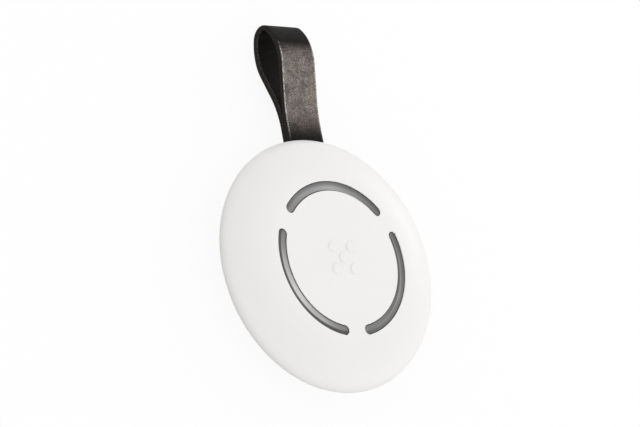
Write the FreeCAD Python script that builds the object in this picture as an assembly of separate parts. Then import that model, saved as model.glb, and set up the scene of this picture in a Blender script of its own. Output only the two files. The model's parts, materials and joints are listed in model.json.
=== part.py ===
import FreeCAD, Part
import math
import os

# Wireless panic button: a round press button on a folded leather strap.
# Millimetres. The middle of the flat back is the origin, +Z is the way the
# face looks and +Y is the way the strap leaves.

# Outline of the button
disc_radius = 30.0
shoulder_depth = 5.3
tuck_depth = 3.5
lip_inset = 6.1
lip_thickness = 1.5
ledge_width = 1.1
cover_wall = 1.8
face_wall = 1.6

# Press travel and clearances
press_travel = 0.4
running_gap = 0.4
part_gap = 0.05
guide_gap = 0.1
stop_gap = 0.1

# Light ring
light_count = 3
light_inset = 12.8
light_width = 2.3
light_half_span = 48.35
light_gap = 0.12
light_sink = 0.15
light_dish = 0.52
light_flange = 0.4
light_base_thickness = 1.0
slot_round = 0.12
face_margin = 0.3

# Raised touch mark in the middle of the face
pip_count = 4
pip_radius = 1.15
pip_height = 0.25
pip_round = 0.15
pip_reach = 3.7

# Boss and pad that pass the press to the switch, and the stop rib
pad_radius = 2.5
pad_height = 1.45
boss_wall = 1.1
boss_depth = 1.1
boss_rib_count = 4
boss_rib_reach = 2.6
boss_rib_width = 0.8
rib_inset = 1.6
rib_width = 1.4

# Leather strap: one strip folded into a loop, both tails in the button
strap_width = 10.1
leather = 1.3
strap_drop = 0.92
tail_gap = 0.04
tail_length = 1.8
tail_room = 0.3
neck_length = 3.4
front_neck_bend = 40.0
front_lean = 10.6
shoulder_bend = 11.7
shoulder_turn = 51.5
crown_bend = 2.85
crown_turn = 118.8
rear_bend = 13.0
rear_lean = 20.8
rear_neck_bend = 24.3
strap_side_gap = 0.35
strap_slot_corner = 0.4

# Strap pin
pin_radius = 0.8
pin_inset = 1.3
pin_length = 5.6
pin_cover = 0.3

# Rear cover
foot_round = 1.6
floor_thickness = 1.6
rear_wall = 1.5
shelf_width = 12.0
hook_reach = 1.2
hook_thickness = 0.8
hook_half_span = 6.0
hook_turn = 22.0
relief_half_span = 0.9
relief_height = 0.8
post_radius = 1.7
post_inset = 2.4
well_rib_width = 1.0

# Coin cell and its two contacts
cell_radius = 10.0
cell_height = 3.2
cell_cap_inset = 1.2
cell_cap_height = 0.35
contact_room = 1.2
contact_sheet = 0.2
clip_width = 4.0
clip_base = 2.5
spring_width = 3.0
spring_base = 4.0
spring_length = 5.2

# Battery door, its well and its sealing ring
door_recess = 0.15
door_wall = 1.75
door_gap = 0.15
plug_wall = 2.05
plug_height = 2.25
flange_reach = 2.65
flange_thickness = 0.95
lug_count = 3
lug_reach = 1.0
lug_thickness = 0.55
lug_half_span = 14.0
lug_play = 2.5
door_turn = 45.0
well_wall = 1.6
well_roof = 0.8
coin_slot_length = 15.0
coin_slot_width = 1.9
coin_slot_depth = 0.9
ring_inset = 0.85
ring_thickness = 0.85

# Circuit board and what stands on it
board_thickness = 1.0
notch_side_gap = 0.5
screw_hole_radius = 0.85
led_length = 3.2
led_width = 1.6
led_height = 0.8
led_lens_length = 1.9
led_lens_width = 1.3
led_turn = 25.0
resistor_turn = 10.5
resistor_length = 1.6
resistor_width = 0.8
resistor_height = 0.45
chip_side = 4.0
chip_height = 0.8
chip_offset = 1.2
crystal_length = 2.0
crystal_width = 1.6
crystal_height = 0.6
crystal_offset = 2.4
can_width = 7.0
can_length = 8.0
can_height = 1.6
can_sheet = 0.2
can_offset = 7.9
antenna_length = 7.0
antenna_width = 2.0
antenna_height = 1.2
antenna_inset = 5.2
capacitor_count = 5
capacitor_length = 1.6
capacitor_width = 0.8
capacitor_height = 0.8
capacitor_pitch = 2.0
capacitor_offset = 7.4

# Push switch
switch_side = 6.2
switch_height = 1.2
switch_bore = 2.35
switch_floor = 0.3
switch_sheet = 0.2
stem_radius = 1.6
stem_flange_reach = 0.5
stem_flange = 0.4
stem_rise = 2.1

# Frame that clamps the board, and its screws
frame_width = 2.5
frame_overhang = 0.4
ear_thickness = 0.83
frame_lug_radius = 2.5
screw_head_radius = 1.45
screw_head_height = 0.75
screw_radius = 0.75
screw_grip = 3.2
screw_slot = 0.4
screw_slot_length = 2.0

# Heights that follow from what is stacked inside, from the back to the face
seat_height = door_recess + flange_thickness + guide_gap
cell_floor = door_recess + door_wall
cell_top = cell_floor + cell_height
board_bottom = cell_top + contact_room
board_top = board_bottom + board_thickness
stem_top = board_top + stem_rise
pad_bottom = stem_top + part_gap
face_inside = pad_bottom + pad_height
total_height = face_inside + face_wall
widest_height = total_height - shoulder_depth
lip_height = widest_height - tuck_depth
lip_top = lip_height + lip_thickness
strap_height = widest_height - strap_drop
strap_bottom = strap_height - leather - tail_gap / 2
strap_top = strap_height + leather + tail_gap / 2
wall_top = strap_bottom - guide_gap
hook_bottom = lip_top + part_gap
hook_top = hook_bottom + hook_thickness
frame_top = strap_top + part_gap + ear_thickness
pin_top = frame_top - pin_cover
pin_bottom = pin_top - pin_length
light_base_bottom = face_inside - light_base_thickness
rib_bottom = frame_top + press_travel + stop_gap
plug_top = door_recess + flange_thickness + plug_height
lug_bottom = plug_top - lug_thickness
lug_groove_top = plug_top + door_gap
well_height = lug_groove_top + well_roof

# Radii that follow from the disc and from the cell
light_radius = disc_radius - light_inset
face_radius = light_radius + light_width / 2 + slot_round + face_margin
lip_radius = disc_radius - lip_inset
ledge_radius = lip_radius + ledge_width
rear_radius = lip_radius - running_gap
rear_inside = rear_radius - rear_wall
board_radius = rear_inside
post_circle = rear_inside - post_inset
rib_inner_radius = rear_inside - rib_inset
frame_outer_radius = rear_inside + frame_overhang
frame_inner_radius = frame_outer_radius - frame_width
pin_place = rear_inside - pin_inset
tail_end = pin_place - tail_length
shelf_start = tail_end - tail_room
neck_reach = disc_radius + neck_length
plug_radius = cell_radius + door_gap + plug_wall
flange_radius = plug_radius + flange_reach
well_radius = flange_radius + door_gap + well_wall
ring_radius = flange_radius - ring_inset
light_angles = [90.0 + 360.0 / light_count * step for step in range(light_count)]
between_angles = [angle + 180.0 / light_count for angle in light_angles]


def point(across, along, up):
    """One point in the part's frame."""
    return FreeCAD.Vector(across, along, up)


def polar(radius, angle):
    """The x and y of a place given by its radius and its angle in degrees."""
    turn = math.radians(angle)
    return radius * math.cos(turn), radius * math.sin(turn)


def disc(radius, bottom, top, place=(0.0, 0.0)):
    """An upright cylinder between two heights."""
    return Part.makeCylinder(radius, top - bottom, point(place[0], place[1], bottom))


def tube(inner, outer, bottom, top, place=(0.0, 0.0)):
    """An upright tube between two heights."""
    return disc(outer, bottom, top, place).cut(disc(inner, bottom, top, place))


def block(width, length, bottom, top, place=(0.0, 0.0)):
    """An upright block, its middle at the given place."""
    corner = point(place[0] - width / 2, place[1] - length / 2, bottom)
    return Part.makeBox(width, length, top - bottom, corner)


def turned_block(width, length, bottom, top, radius, angle):
    """A block at a radius, its width along the radius."""
    shape = block(width, length, bottom, top, (radius, 0.0))
    return shape.rotate(point(0, 0, 0), point(0, 0, 1), angle)


def ring_sector(inner, outer, bottom, top, angle, half_span):
    """A piece of a tube, from angle - half_span to angle + half_span."""
    corners = [point(inner, 0, bottom), point(outer, 0, bottom)]
    corners += [point(outer, 0, top), point(inner, 0, top), point(inner, 0, bottom)]
    section = Part.Face(Part.makePolygon(corners))
    section.rotate(point(0, 0, 0), point(0, 0, 1), angle - half_span)
    return section.revolve(point(0, 0, 0), point(0, 0, 1), 2 * half_span)


def line(start, end):
    """Straight edge of a turned profile; each point is (radius, height)."""
    return Part.makeLine(point(start[0], start[1], 0), point(end[0], end[1], 0))


def round_arc(centre, radius, start, end):
    """Arc of a circle in a turned profile, between two angles."""
    circle = Part.Circle(point(centre[0], centre[1], 0), point(0, 0, 1), radius)
    return Part.ArcOfCircle(circle, math.radians(start), math.radians(end)).toShape()


def ellipse_arc(centre, half_width, half_height, start, end):
    """Arc of an upright ellipse in a turned profile, between two angles."""
    middle = point(centre[0], centre[1], 0)
    beside = middle + point(half_width, 0, 0)
    above = middle + point(0, half_height, 0)
    shift = 0.0
    if half_width >= half_height:
        ellipse = Part.Ellipse(beside, above, middle)
    else:
        ellipse = Part.Ellipse(above, middle - point(half_width, 0, 0), middle)
        shift = -90.0
    first = math.radians(start + shift)
    last = math.radians(end + shift)
    return Part.ArcOfEllipse(ellipse, first, last).toShape()


def revolved(edges):
    """Solid turned about the upright axis from the edges of a closed profile."""
    profile = Part.Face(Part.Wire(Part.__sortEdges__(edges)))
    solid = profile.revolve(point(0, 0, 0), point(0, 1, 0), 360)
    solid.rotate(point(0, 0, 0), point(1, 0, 0), 90)
    return solid


def outline(points):
    """Edges that join a row of profile points."""
    return [line(start, end) for start, end in zip(points, points[1:])]


def arc_bar(width, bottom, top, angle):
    """Upright bar bent along the light ring's circle, with round ends."""
    half = light_half_span
    bar = ring_sector(light_radius - width / 2, light_radius + width / 2, bottom, top, angle, half)
    for end in (angle - half, angle + half):
        bar = bar.fuse(disc(width / 2, bottom, top, polar(light_radius, end)))
    return bar.removeSplitter()


def cover_shell():
    """Bowl of the press cover: flat face, round rim and tucked lip."""
    inner_radius = disc_radius - cover_wall
    edges = outline([(0, face_inside), (0, total_height), (face_radius, total_height)])
    edges.append(ellipse_arc((face_radius, widest_height), disc_radius - face_radius, shoulder_depth, 0, 90))
    edges.append(ellipse_arc((lip_radius, widest_height), disc_radius - lip_radius, tuck_depth, 270, 360))
    edges += outline([(lip_radius, lip_height), (lip_radius, lip_top), (ledge_radius, lip_top)])
    ledge_reach = inner_radius - ledge_radius
    edges.append(ellipse_arc((ledge_radius, widest_height), ledge_reach, widest_height - lip_top, 270, 360))
    inner_rise = face_inside - widest_height
    edges.append(ellipse_arc((face_radius, widest_height), inner_radius - face_radius, inner_rise, 0, 90))
    edges.append(line((face_radius, face_inside), (0, face_inside)))
    return revolved(edges)


def touch_pip(place):
    """Low round dot that stands on the face, its upper edge rounded."""
    top = total_height + pip_height
    dot = disc(pip_radius, total_height - face_wall / 4, top, place)
    rim = [edge for edge in dot.Edges if edge.BoundBox.ZMin > total_height]
    return dot.makeFillet(pip_round, rim)


def strap_slot():
    """Cutter for the mouth in the rim that the strap passes, with room for the travel."""
    width = strap_width + 2 * strap_side_gap
    bottom = strap_bottom - guide_gap
    top = strap_top + press_travel + guide_gap
    start = lip_radius - lip_thickness
    cutter = block(width, disc_radius, bottom, top, (0, start + disc_radius / 2))
    along = [edge for edge in cutter.Edges if edge.BoundBox.YLength > disc_radius / 2]
    return cutter.makeFillet(strap_slot_corner, along)


def rounded_light_slots(cover):
    """Soft upper edges of the three light slots."""
    rims = []
    for edge in cover.Edges:
        box = edge.BoundBox
        level = min(abs(box.ZMin - total_height), abs(box.ZMax - total_height)) < slot_round / 10
        flat = box.ZLength < slot_round / 10
        middle = edge.CenterOfMass
        beside = abs(math.hypot(middle.x, middle.y) - light_radius) < light_radius / 3
        if level and flat and beside:
            rims.append(edge)
    return cover.makeFillet(slot_round, rims)


def boss_rib(angle):
    """Three-cornered rib that stiffens the boss against the inside of the face."""
    root = pad_radius + boss_wall / 2
    tip = pad_radius + boss_wall + boss_rib_reach
    side = -boss_rib_width / 2
    corners = [point(root, side, face_inside), point(tip, side, face_inside)]
    corners += [point(root, side, face_inside - boss_depth), point(root, side, face_inside)]
    rib = Part.Face(Part.makePolygon(corners)).extrude(point(0, boss_rib_width, 0))
    return rib.rotate(point(0, 0, 0), point(0, 0, 1), angle)


def front_cover():
    """Press cover: moulded in one piece with its boss, ribs and touch mark."""
    cover = cover_shell()
    for angle in light_angles:
        cover = cover.cut(arc_bar(light_width, face_inside, total_height, angle))
    cover = rounded_light_slots(cover)
    cover = cover.cut(strap_slot())
    boss_bottom = face_inside - boss_depth
    cover = cover.fuse(tube(pad_radius, pad_radius + boss_wall, boss_bottom, face_inside))
    for step in range(boss_rib_count):
        cover = cover.fuse(boss_rib(360.0 / boss_rib_count * (step + 0.5)))
    rib = tube(rib_inner_radius, rib_inner_radius + rib_width, rib_bottom, face_inside)
    cover = cover.fuse(rib)
    places = [(0.0, 0.0)] + [polar(pip_reach, 360.0 / pip_count * (step + 0.5)) for step in range(pip_count)]
    for place in places:
        cover = cover.fuse(touch_pip(place))
    return cover


def light_section(start, end):
    """Cross-section of one light bar from one offset to another, its top dished."""
    half = light_width / 2 - light_gap
    edge_top = total_height - light_sink
    dish_radius = (half ** 2 + light_dish ** 2) / (2 * light_dish)

    def at(offset):
        """Point of the dished top at an offset from the middle."""
        up = edge_top - light_dish + dish_radius - math.sqrt(dish_radius ** 2 - offset ** 2)
        return point(light_radius + offset, 0, up)

    top = Part.Arc(at(start), at((start + end) / 2), at(end))
    foot = [point(light_radius + offset, 0, face_inside) for offset in (end, start)]
    corners = [at(end)] + foot + [at(start)]
    edges = [top.toShape()]
    for first, last in zip(corners, corners[1:]):
        edges.append(Part.makeLine(first, last))
    return Part.Face(Part.Wire(Part.__sortEdges__(edges)))


def light_bar(angle):
    """One dished bar of the light ring, with rounded ends."""
    half = light_width / 2 - light_gap
    up = point(0, 0, 1)
    section = light_section(-half, half)
    section.rotate(point(0, 0, 0), up, angle - light_half_span)
    bar = section.revolve(point(0, 0, 0), up, 2 * light_half_span)
    for side in (-1, 1):
        cap = light_section(0, half).revolve(point(light_radius, 0, 0), up, side * 180)
        cap.rotate(point(0, 0, 0), up, angle + side * light_half_span)
        bar = bar.fuse(cap)
    return bar


def light_ring():
    """Clear ring behind the face, with the three bars that fill the slots."""
    half = light_width / 2 + light_flange
    ring = tube(light_radius - half, light_radius + half, light_base_bottom, face_inside)
    for angle in light_angles:
        ring = ring.fuse(light_bar(angle))
    return ring


def press_pad():
    """Rubber pad between the cover and the switch stem."""
    return disc(pad_radius, pad_bottom, face_inside)


def rear_dish():
    """Round dish of the rear cover, with a rounded foot."""
    edges = outline([(0, floor_thickness), (0, 0), (rear_radius - foot_round, 0)])
    edges.append(round_arc((rear_radius - foot_round, foot_round), foot_round, 270, 360))
    rise = [(rear_radius, foot_round), (rear_radius, wall_top), (rear_inside, wall_top)]
    rise += [(rear_inside, floor_thickness), (0, floor_thickness)]
    return revolved(edges + outline(rise))


def hook_angles():
    """Angles of the snap hooks, in pairs beside the screw posts."""
    return [angle + side for angle in between_angles for side in (-hook_turn, hook_turn)]


def add_hooks(cover):
    """Snap hooks that hold the press cover's lip, each on its own spring finger."""
    nose_radius = rear_radius + hook_reach
    for angle in hook_angles():
        finger = ring_sector(rear_inside, rear_radius, floor_thickness, hook_top, angle, hook_half_span)
        nose = ring_sector(rear_inside, nose_radius, hook_bottom, hook_top, angle, hook_half_span)
        cover = cover.fuse(finger).fuse(nose)
        for side in (-1, 1):
            place = angle + side * (hook_half_span + relief_half_span)
            cut = ring_sector(rear_inside - part_gap, rear_radius + part_gap, floor_thickness + relief_height,
                              hook_top, place, relief_half_span)
            cover = cover.cut(cut)
    return cover


def door_opening(cover):
    """Stepped hole for the battery door, with the bayonet groove and its entries."""
    lug_edge = plug_radius + lug_reach + door_gap
    cover = cover.cut(disc(flange_radius + door_gap, 0, seat_height))
    cover = cover.cut(disc(plug_radius + door_gap, 0, lug_groove_top))
    cover = cover.cut(disc(lug_edge, lug_bottom - part_gap, lug_groove_top))
    cover = cover.cut(disc(cell_radius + door_gap, 0, well_height))
    for step in range(lug_count):
        angle = 360.0 / lug_count * step - door_turn
        entry = ring_sector(cell_radius, lug_edge, 0, lug_groove_top, angle, lug_half_span + lug_play)
        cover = cover.cut(entry)
    return cover


def rear_cover():
    """Rear cover: foot, battery well and its ribs, screw posts, strap shelf and snap hooks."""
    cover = rear_dish()
    cover = cover.fuse(disc(well_radius, floor_thickness / 2, well_height))
    shelf_length = rear_inside + rear_wall / 2 - shelf_start
    shelf_middle = shelf_start + shelf_length / 2
    cover = cover.fuse(block(shelf_width, shelf_length, floor_thickness / 2, wall_top, (0, shelf_middle)))
    rib_length = rear_inside - well_radius + well_wall / 2 + rear_wall / 2
    rib_middle = well_radius - well_wall / 2 + rib_length / 2
    for angle in light_angles:
        rib = turned_block(rib_length, well_rib_width, floor_thickness / 2, well_height, rib_middle, angle)
        cover = cover.fuse(rib)
    cover = add_hooks(cover)
    for angle in between_angles:
        place = polar(post_circle, angle)
        cover = cover.fuse(disc(post_radius, floor_thickness / 2, board_bottom, place))
        cover = cover.cut(disc(screw_radius, board_bottom - screw_grip, board_bottom, place))
    cover = cover.cut(disc(pin_radius, pin_bottom, wall_top, (0, pin_place)))
    return door_opening(cover)


def battery_door():
    """Round battery door with a coin slot, a hollow plug and bayonet lugs."""
    flange_top = door_recess + flange_thickness
    door = disc(flange_radius, door_recess, flange_top)
    door = door.fuse(disc(plug_radius, door_recess, plug_top))
    for step in range(lug_count):
        angle = 360.0 / lug_count * step
        lug = ring_sector(cell_radius + plug_wall / 2, plug_radius + lug_reach, lug_bottom, plug_top,
                          angle, lug_half_span)
        door = door.fuse(lug)
    door = door.cut(disc(cell_radius + door_gap, cell_floor, plug_top))
    groove = ring_thickness / 2 + part_gap
    groove_bottom = seat_height - part_gap - ring_thickness
    door = door.cut(tube(ring_radius - groove, ring_radius + groove, groove_bottom, flange_top))
    slot = block(coin_slot_length, coin_slot_width, 0, door_recess + coin_slot_depth)
    return door.cut(slot)


def door_o_ring():
    """Rubber ring in the door's groove."""
    height = seat_height - part_gap - ring_thickness / 2
    return Part.makeTorus(ring_radius, ring_thickness / 2, point(0, 0, height))


def coin_cell():
    """Flat coin cell, its smaller cap toward the board."""
    can = disc(cell_radius, cell_floor, cell_top - cell_cap_height)
    return can.fuse(disc(cell_radius - cell_cap_inset, cell_top - cell_cap_height, cell_top))


def sheet_strip(points, width):
    """Bent strip of contact sheet from its side profile of (x, height) points."""
    corners = [point(across, -width / 2, up) for across, up in points]
    face = Part.Face(Part.makePolygon(corners + corners[:1]))
    return face.extrude(point(0, width, 0))


def battery_clip():
    """Contact under the board that touches the side of the cell."""
    inside = -cell_radius
    outside = inside - contact_sheet
    bend = board_bottom - contact_sheet
    foot = inside + clip_base
    bottom = well_height + guide_gap
    profile = [(foot, board_bottom), (outside, board_bottom), (outside, bottom), (inside, bottom)]
    profile += [(inside, bend), (foot, bend)]
    return sheet_strip(profile, clip_width)


def battery_spring():
    """Springy tongue under the board that presses on the cell's cap."""
    bend = board_bottom - contact_sheet
    tip = -spring_length / 2
    toe = tip - 2 * contact_sheet
    root = tip + spring_length
    foot = root + spring_base
    profile = [(foot, board_bottom), (root, board_bottom), (tip, cell_top + contact_sheet)]
    profile += [(toe, cell_top + 2 * contact_sheet), (toe, cell_top + contact_sheet)]
    profile += [(tip, cell_top), (root, bend), (foot, bend)]
    return sheet_strip(profile, spring_width)


def circuit_board():
    """Round board with a notch for the strap's tails and three screw holes."""
    board = disc(board_radius, board_bottom, board_top)
    notch_start = shelf_start - guide_gap
    notch_width = shelf_width + 2 * notch_side_gap
    notch = block(notch_width, board_radius, board_bottom, board_top, (0, notch_start + board_radius / 2))
    board = board.cut(notch)
    for angle in between_angles:
        board = board.cut(disc(screw_hole_radius, board_bottom, board_top, polar(post_circle, angle)))
    return board


def led_angles():
    """Angles of the lamps, two behind each light bar."""
    return [angle + side for angle in light_angles for side in (-led_turn, led_turn)]


def leds():
    """Six small lamps that shine up into the light ring."""
    group = []
    for angle in led_angles():
        lamp = turned_block(led_width, led_length, board_top, board_top + led_height / 2, light_radius, angle)
        lens = turned_block(led_lens_width, led_lens_length, board_top, board_top + led_height,
                            light_radius, angle)
        group.append(lamp.fuse(lens))
    return Part.makeCompound(group)


def resistors():
    """Six resistors, one beside each lamp."""
    top = board_top + resistor_height
    group = []
    for angle in led_angles():
        place = angle + resistor_turn
        group.append(turned_block(resistor_width, resistor_length, board_top, top, light_radius, place))
    return Part.makeCompound(group)


def capacitors():
    """A column of small capacitors beside the switch."""
    top = board_top + capacitor_height
    group = []
    for step in range(capacitor_count):
        along = (step - (capacitor_count - 1) / 2) * capacitor_pitch
        group.append(block(capacitor_length, capacitor_width, board_top, top, (capacitor_offset, along)))
    return Part.makeCompound(group)


def radio_chip():
    """Radio chip under the shield can."""
    place = (-can_offset, chip_offset)
    return block(chip_side, chip_side, board_top, board_top + chip_height, place)


def crystal():
    """Quartz crystal beside the radio chip."""
    place = (-can_offset, -crystal_offset)
    return block(crystal_length, crystal_width, board_top, board_top + crystal_height, place)


def shield_can():
    """Thin metal lid over the radio."""
    place = (-can_offset, 0.0)
    can = block(can_width, can_length, board_top, board_top + can_height, place)
    uprights = [edge for edge in can.Edges if edge.BoundBox.ZLength > can_height / 2]
    can = can.makeFillet(2 * can_sheet, uprights)
    width = can_width - 2 * can_sheet
    length = can_length - 2 * can_sheet
    return can.cut(block(width, length, board_top, board_top + can_height - can_sheet, place))


def chip_antenna():
    """Ceramic antenna at the edge of the board that is farthest from the strap."""
    place = (0.0, antenna_inset - light_radius)
    return block(antenna_length, antenna_width, board_top, board_top + antenna_height, place)


def switch_body():
    """Base of the push switch."""
    body = block(switch_side, switch_side, board_top, board_top + switch_height)
    return body.cut(disc(switch_bore, board_top + switch_floor, board_top + switch_height))


def switch_frame():
    """Metal lid of the switch, folded down over two sides."""
    bottom = board_top + switch_height
    top = bottom + switch_sheet
    lid = block(switch_side, switch_side, bottom, top)
    for side in (-1, 1):
        place = (side * (switch_side + switch_sheet) / 2, 0.0)
        lid = lid.fuse(block(switch_sheet, switch_side / 2, board_top + switch_floor, top, place))
    return lid.cut(disc(stem_radius + guide_gap, bottom, top))


def switch_plunger():
    """Stem of the switch with the flange that keeps it in."""
    flange_top = board_top + switch_height - part_gap
    stem = disc(stem_radius, flange_top - stem_flange, stem_top)
    return stem.fuse(disc(stem_radius + stem_flange_reach, flange_top - stem_flange, flange_top))


def inner_frame():
    """Ring that clamps the board and closes over the strap's tails."""
    frame = tube(frame_inner_radius, frame_outer_radius, board_top, frame_top)
    ear_end = (frame_inner_radius + frame_outer_radius) / 2
    ear_middle = (shelf_start + ear_end) / 2
    frame = frame.fuse(block(shelf_width, ear_end - shelf_start, board_top, frame_top, (0, ear_middle)))
    width = strap_width + 2 * strap_side_gap
    length = frame_outer_radius
    pocket = block(width, length, strap_bottom, strap_top + part_gap, (0, frame_outer_radius))
    frame = frame.cut(pocket)
    for angle in between_angles:
        place = polar(post_circle, angle)
        frame = frame.fuse(disc(frame_lug_radius, board_top, frame_top, place))
        frame = frame.cut(disc(screw_hole_radius, board_top, frame_top, place))
        head_bottom = frame_top - screw_head_height
        frame = frame.cut(disc(screw_head_radius + part_gap, head_bottom, frame_top, place))
    return frame.cut(disc(pin_radius, strap_bottom, pin_top, (0, pin_place)))


def frame_screws():
    """Three small screws that hold the frame and the board to the posts."""
    group = []
    for angle in between_angles:
        place = polar(post_circle, angle)
        head_bottom = frame_top - screw_head_height
        screw = disc(screw_radius, board_bottom - screw_grip, head_bottom, place)
        screw = screw.fuse(disc(screw_head_radius, head_bottom, frame_top, place))
        for width, length in ((screw_slot, screw_slot_length), (screw_slot_length, screw_slot)):
            screw = screw.cut(block(width, length, frame_top - screw_slot, frame_top, place))
        group.append(screw)
    return Part.makeCompound(group)


def heading(angle):
    """Unit step in the strap's side view, at an angle from +Y toward +Z."""
    turn = math.radians(angle)
    return point(0, math.cos(turn), math.sin(turn))


def bend_end(start, angle, radius, turn):
    """Where a bend ends; a turn above zero bends toward +Z."""
    side = math.copysign(1.0, turn)
    centre = start + heading(angle + 90 * side) * radius
    return centre, centre - heading(angle + turn + 90 * side) * radius


def strap_bends():
    """The loop's bends as (radius, turn) pairs, from the front neck to the rear neck."""
    rear_turn = 180.0 + front_lean + rear_lean - shoulder_turn - crown_turn
    return [(front_neck_bend, front_lean), (shoulder_bend, -shoulder_turn), (crown_bend, -crown_turn),
            (rear_bend, -rear_turn), (rear_neck_bend, rear_lean)]


def strap_straights():
    """Lengths of the two flat stretches that close the loop on itself."""
    start = point(0, neck_reach, strap_height + (leather + tail_gap) / 2)
    goal = point(0, neck_reach, strap_height - (leather + tail_gap) / 2)
    angle = 0.0
    spot = start
    for radius, turn in strap_bends():
        spot = bend_end(spot, angle, radius, turn)[1]
        angle += turn
    missing = goal - spot
    first = heading(front_lean)
    second = heading(-180.0 - rear_lean)
    scale = first.y * second.z - first.z * second.y
    front = (missing.y * second.z - missing.z * second.y) / scale
    rear = (first.y * missing.z - first.z * missing.y) / scale
    return front, rear


def strap_side(offset):
    """Edges of one face of the strip, at an offset from its middle line."""
    front, rear = strap_straights()
    start = point(0, tail_end, strap_height + (leather + tail_gap) / 2)
    spot = start + point(0, neck_reach - tail_end, 0)
    edges = [Part.makeLine(start + heading(90) * offset, spot + heading(90) * offset)]
    angle = 0.0
    for number, (radius, turn) in enumerate(strap_bends()):
        centre, end = bend_end(spot, angle, radius, turn)
        side = math.copysign(1.0, turn)
        length = radius - side * offset
        corners = []
        for share in (0.0, 0.5, 1.0):
            corners.append(centre - heading(angle + turn * share + 90 * side) * length)
        edges.append(Part.Arc(*corners).toShape())
        angle += turn
        spot = end
        straight = {0: front, 3: rear}.get(number, 0.0)
        if straight:
            step = heading(angle) * straight
            lift = heading(angle + 90) * offset
            edges.append(Part.makeLine(spot + lift, spot + step + lift))
            spot = spot + step
    last = point(0, tail_end, spot.z)
    edges.append(Part.makeLine(spot + heading(-90) * offset, last + heading(-90) * offset))
    return edges


def strap():
    """Leather strip folded into a loop, with a pin hole through both tails."""
    outer = strap_side(leather / 2)
    inner = strap_side(-leather / 2)
    front_end = Part.makeLine(outer[0].Vertexes[0].Point, inner[0].Vertexes[0].Point)
    rear_end = Part.makeLine(outer[-1].Vertexes[-1].Point, inner[-1].Vertexes[-1].Point)
    edges = outer + inner + [front_end, rear_end]
    face = Part.Face(Part.Wire(Part.__sortEdges__(edges)))
    face.translate(point(-strap_width / 2, 0, 0))
    band = face.extrude(point(strap_width, 0, 0))
    return band.cut(disc(pin_radius + part_gap, strap_bottom - leather, strap_top + leather, (0, pin_place)))


def strap_pin():
    """Steel dowel through the strap's tails."""
    return disc(pin_radius, pin_bottom, pin_top, (0, pin_place))


PIECES = [
    front_cover, light_ring, press_pad, rear_cover, battery_door, door_o_ring, coin_cell,
    battery_clip, battery_spring, circuit_board, leds, resistors, capacitors, radio_chip,
    crystal, shield_can, chip_antenna, switch_body, switch_frame, switch_plunger,
    inner_frame, frame_screws, strap, strap_pin,
]


def main():
    """Write each piece to its own file."""
    os.makedirs("parts", exist_ok=True)
    for piece in PIECES:
        shape = piece()
        shape.exportStep("parts/" + piece.__name__ + ".step")


main()
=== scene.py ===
import json
import logging
import math
from abc import ABC, abstractmethod
from dataclasses import dataclass, field
from enum import Enum
from typing import Any, Iterator

import bpy
from mathutils import Matrix, Vector, noise

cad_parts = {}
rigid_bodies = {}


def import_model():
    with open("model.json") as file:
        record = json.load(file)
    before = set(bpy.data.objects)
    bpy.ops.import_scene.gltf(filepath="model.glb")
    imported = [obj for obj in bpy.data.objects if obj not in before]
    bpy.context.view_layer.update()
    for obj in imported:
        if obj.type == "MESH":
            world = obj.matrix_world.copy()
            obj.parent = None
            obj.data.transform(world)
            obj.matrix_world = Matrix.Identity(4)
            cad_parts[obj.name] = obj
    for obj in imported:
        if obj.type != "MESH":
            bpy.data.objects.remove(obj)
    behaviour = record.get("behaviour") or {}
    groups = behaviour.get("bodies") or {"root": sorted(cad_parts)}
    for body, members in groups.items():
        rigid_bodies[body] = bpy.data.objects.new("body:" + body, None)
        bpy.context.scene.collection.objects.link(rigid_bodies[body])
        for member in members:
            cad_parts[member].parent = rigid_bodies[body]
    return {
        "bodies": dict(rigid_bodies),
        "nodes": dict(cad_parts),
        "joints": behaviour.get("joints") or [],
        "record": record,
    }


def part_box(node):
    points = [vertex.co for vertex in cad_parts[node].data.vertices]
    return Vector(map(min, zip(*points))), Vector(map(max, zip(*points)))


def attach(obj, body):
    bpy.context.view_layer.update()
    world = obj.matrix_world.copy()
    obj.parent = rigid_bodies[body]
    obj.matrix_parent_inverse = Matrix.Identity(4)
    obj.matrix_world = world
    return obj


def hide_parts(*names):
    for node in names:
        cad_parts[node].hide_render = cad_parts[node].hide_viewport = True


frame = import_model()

log = logging.getLogger("panic_button")

MILLIMETRE = 0.001
Colour = tuple[float, float, float, float]


class Body(Enum):
    """Rigid bodies that the pieces built here ride on."""

    HOUSING = "housing"


class Socket(Enum):
    """Kinds of socket that a shared effect has."""

    NUMBER = "NodeSocketFloat"
    COLOUR = "NodeSocketColor"


def grey(value: float) -> Colour:
    """Neutral linear colour."""
    return (value, value, value, 1.0)


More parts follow.
